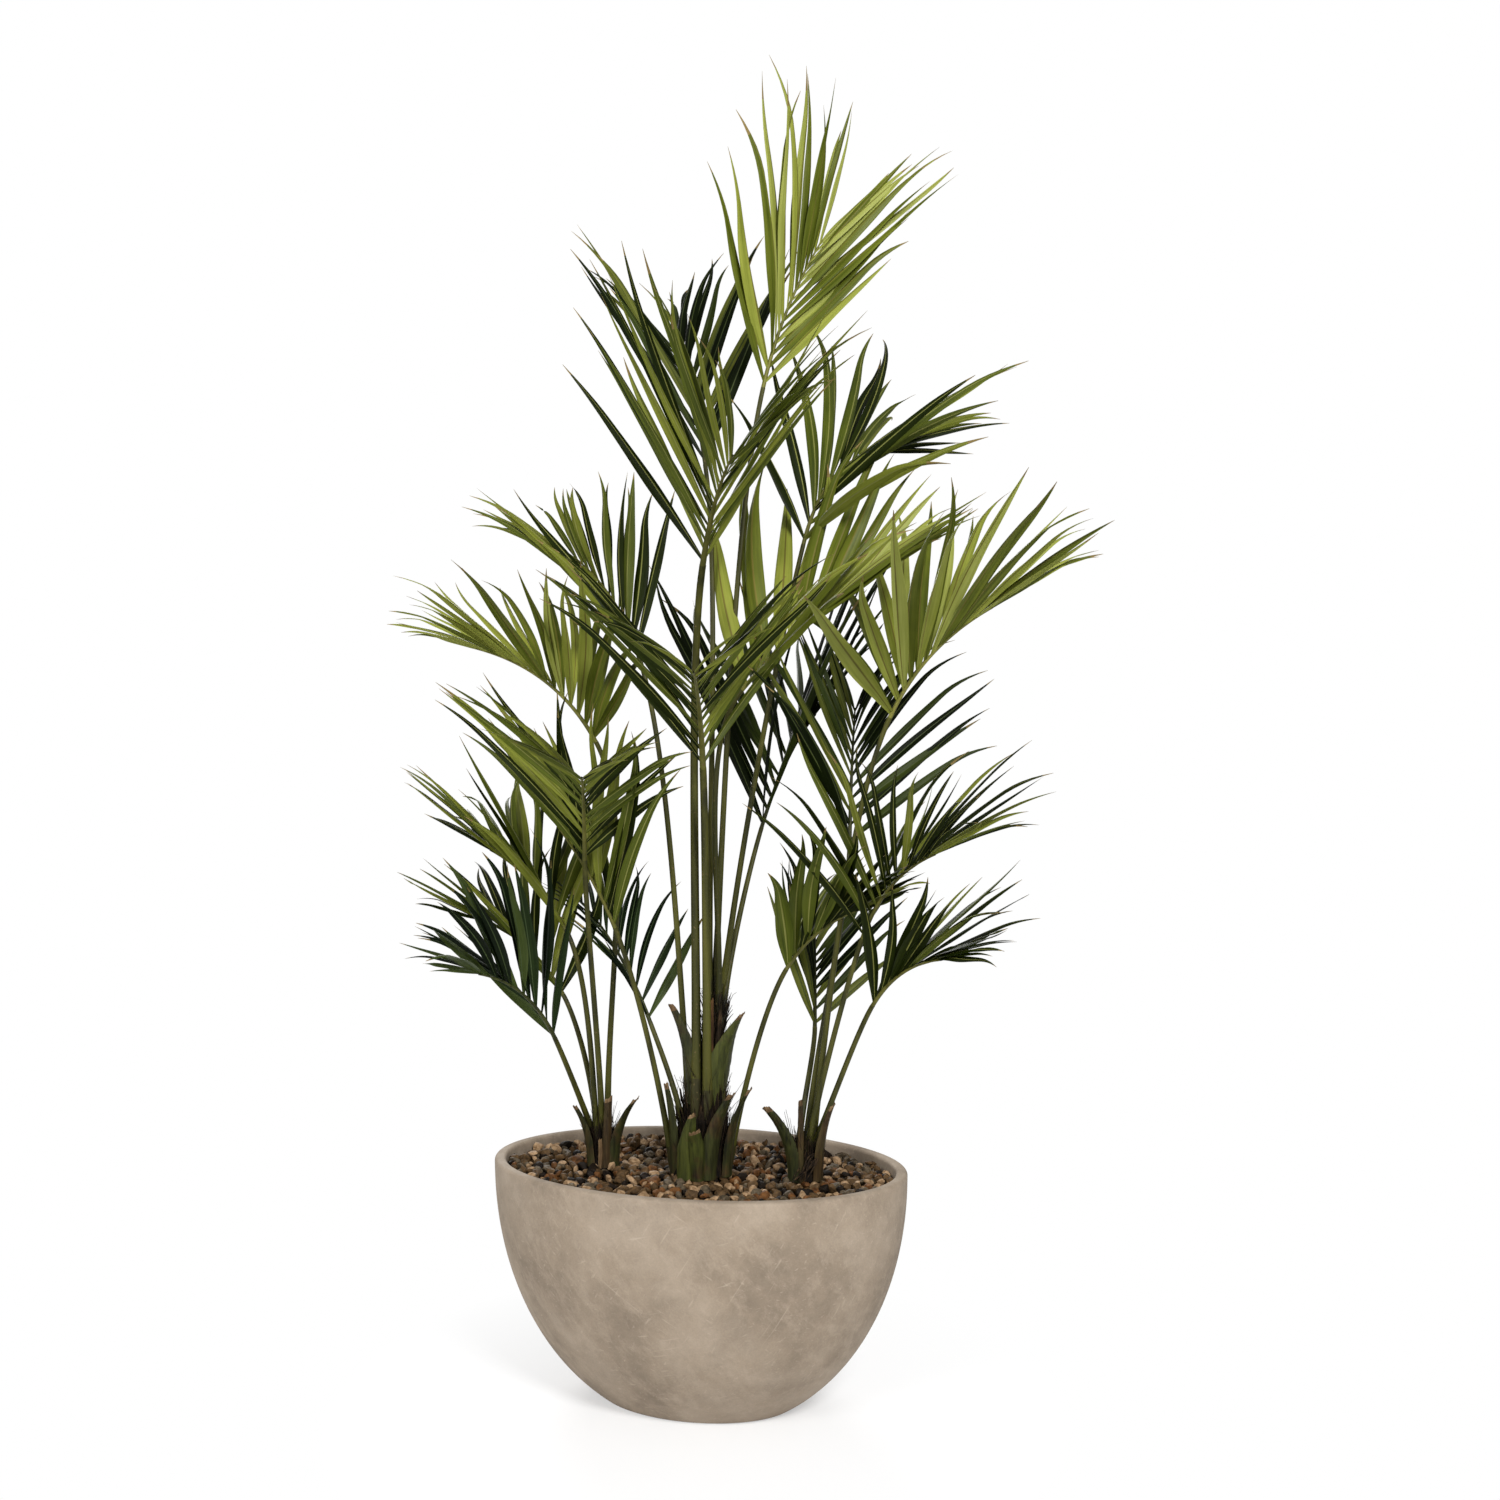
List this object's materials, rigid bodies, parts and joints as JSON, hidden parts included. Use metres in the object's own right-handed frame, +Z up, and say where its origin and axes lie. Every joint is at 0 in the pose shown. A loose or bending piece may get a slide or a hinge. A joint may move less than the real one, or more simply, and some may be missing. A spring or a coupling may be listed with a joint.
{
  "type": "potted kentia palm",
  "caption": "Feather-leaved palm in a clump of short stems with tall arching fronds, standing in an oval bowl-shaped pot filled with gravel.",
  "frame": {"origin": "middle of the pot's flat underside", "axes": "+Z up the plant, +X along the pot's long axis"},
  "size_m": [1.0925, 0.9558, 1.9893],
  "materials": {
    "pot": "matt, cloudy",
    "gravel": "matt pebbles",
    "stem": "fibrous",
    "sheath": "fibrous",
    "stalk": "satin",
    "leaf_light": "satin",
    "leaf_mid": "satin",
    "leaf_dark": "satin",
    "leaf_blue": "satin"
  },
  "bodies": {
    "root": {"pot": "pot", "gravel": "gravel", "stem_left": "stem", "stem_centre": "stem", "stem_right": "stem", "stalk_centre_1": "stalk", "stalk_centre_2": "stalk", "stalk_centre_3": "stalk", "stalk_centre_4": "stalk", "stalk_centre_5": "stalk", "stalk_centre_6": "stalk", "stalk_centre_7": "stalk", "stalk_centre_8": "stalk", "stalk_centre_9": "stalk", "stalk_centre_10": "stalk", "stalk_centre_11": "stalk", "stalk_left_1": "stalk", "stalk_left_2": "stalk", "stalk_left_3": "stalk", "stalk_left_4": "stalk", "stalk_left_5": "stalk", "stalk_right_1": "stalk", "stalk_right_2": "stalk", "stalk_right_3": "stalk", "stalk_right_4": "stalk", "stalk_right_5": "stalk", "sheath_1": "sheath", "sheath_2": "sheath", "sheath_3": "sheath", "sheath_4": "sheath", "sheath_5": "sheath", "sheath_6": "sheath", "sheath_7": "sheath", "sheath_8": "sheath", "sheath_9": "sheath", "sheath_10": "sheath", "sheath_11": "sheath", "sheath_12": "sheath", "frond_centre_1": "leaf_light", "frond_centre_2": "leaf_mid", "frond_centre_3": "leaf_dark", "frond_centre_4": "leaf_dark", "frond_centre_5": "leaf_light", "frond_centre_6": "leaf_mid", "frond_centre_7": "leaf_dark", "frond_centre_8": "leaf_mid", "frond_centre_9": "leaf_blue", "frond_centre_10": "leaf_mid", "frond_centre_11": "leaf_mid", "frond_left_1": "leaf_light", "frond_left_2": "leaf_mid", "frond_left_3": "leaf_mid", "frond_left_4": "leaf_blue", "frond_left_5": "leaf_mid", "frond_right_1": "leaf_light", "frond_right_2": "leaf_dark", "frond_right_3": "leaf_mid", "frond_right_4": "leaf_mid", "frond_right_5": "leaf_dark"}
  },
  "joints": []
}
